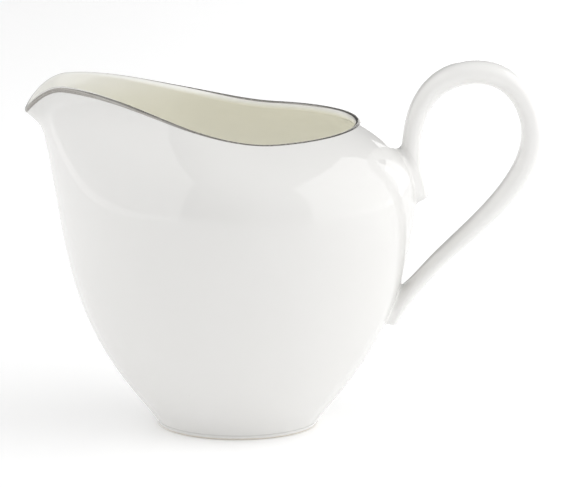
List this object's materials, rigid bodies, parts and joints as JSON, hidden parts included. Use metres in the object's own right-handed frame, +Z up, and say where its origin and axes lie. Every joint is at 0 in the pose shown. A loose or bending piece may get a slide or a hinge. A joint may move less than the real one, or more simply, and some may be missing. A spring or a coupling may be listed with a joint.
{
  "type": "cream jug",
  "caption": "Small white bone-china jug with a drawn pouring lip, a loop strap handle, a foot ring and a fired metal line on the lip.",
  "frame": {"origin": "on the table, under the middle of the jug's overall length and on its plane of symmetry", "axes": "+Z up; +X from the pouring lip to the handle, the longest extent; +Y across the jug, the shortest extent"},
  "size_m": [0.1242, 0.0854, 0.0885],
  "materials": {
    "china_glaze": "clear high-gloss glaze over white, slightly translucent bone china",
    "foot_china": "the same glaze, with a bare, ground standing face",
    "handle_china": "clear high-gloss glaze over white bone china",
    "joint_slip": "slip of the same china, sponged smooth and glazed over",
    "platinum_line": "fired platinum line, bright grey"
  },
  "bodies": {
    "root": {"body_shell": "china_glaze", "foot_ring": "foot_china", "handle": "handle_china", "upper_slip_joint": "joint_slip", "lower_slip_joint": "joint_slip", "rim_line": "platinum_line"}
  },
  "joints": []
}
